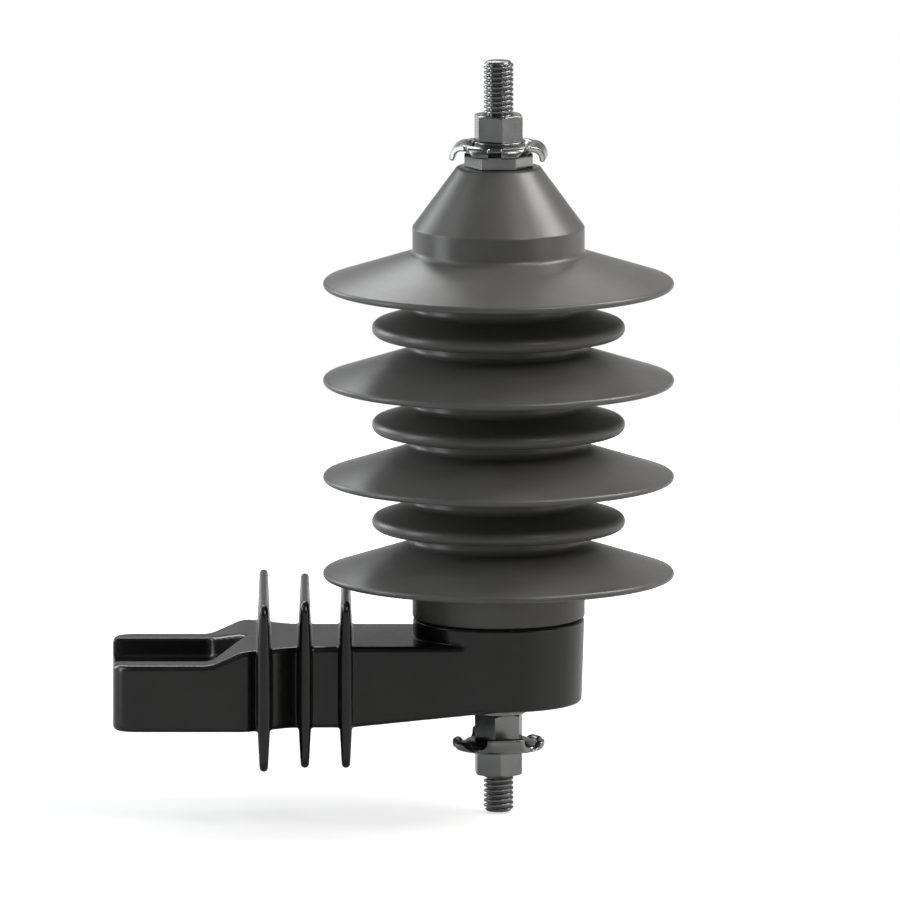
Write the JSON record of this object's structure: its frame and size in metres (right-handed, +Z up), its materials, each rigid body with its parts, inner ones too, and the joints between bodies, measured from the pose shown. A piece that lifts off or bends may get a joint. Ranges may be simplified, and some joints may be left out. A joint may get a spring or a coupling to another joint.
{
  "type": "surge arrester",
  "caption": "Surge arrester with a ribbed rubber housing on a black insulating side bracket, with a threaded stud and wire clamp at each end.",
  "frame": {"origin": "centre of the bracket's bolt hole, on the bracket's underside", "axes": "+Z runs up along the arrester, parallel to its axis, and +X from the bolt hole to the arrester's axis"},
  "size_m": [0.179, 0.112, 0.242],
  "materials": {
    "housing_rubber": "satin",
    "bracket_plastic": "satin",
    "bright_steel": "polished",
    "electrode_aluminium": "machined",
    "zinc_oxide": "matte",
    "fibreglass": "satin",
    "seal_rubber": "matte"
  },
  "bodies": {
    "root": {"housing": "housing_rubber", "fibreglass_wrap": "fibreglass", "top_electrode": "electrode_aluminium", "bottom_electrode": "electrode_aluminium", "varistor_block_1": "zinc_oxide", "varistor_block_2": "zinc_oxide", "varistor_block_3": "zinc_oxide", "contact_disc_1": "electrode_aluminium", "contact_disc_2": "electrode_aluminium", "contact_disc_3": "electrode_aluminium", "contact_disc_4": "electrode_aluminium", "spacer": "electrode_aluminium", "disc_spring": "bright_steel", "neck_seal": "seal_rubber", "line_stud": "bright_steel", "terminal_plate": "bright_steel", "line_clamp": "bright_steel", "line_lock_washer": "bright_steel", "line_nut": "bright_steel", "bracket": "bracket_plastic", "earth_stud": "bright_steel", "bracket_washer": "bright_steel", "bracket_lock_washer": "bright_steel", "bracket_nut": "bright_steel", "earth_clamp": "bright_steel", "earth_lock_washer": "bright_steel", "earth_nut": "bright_steel"}
  },
  "joints": []
}
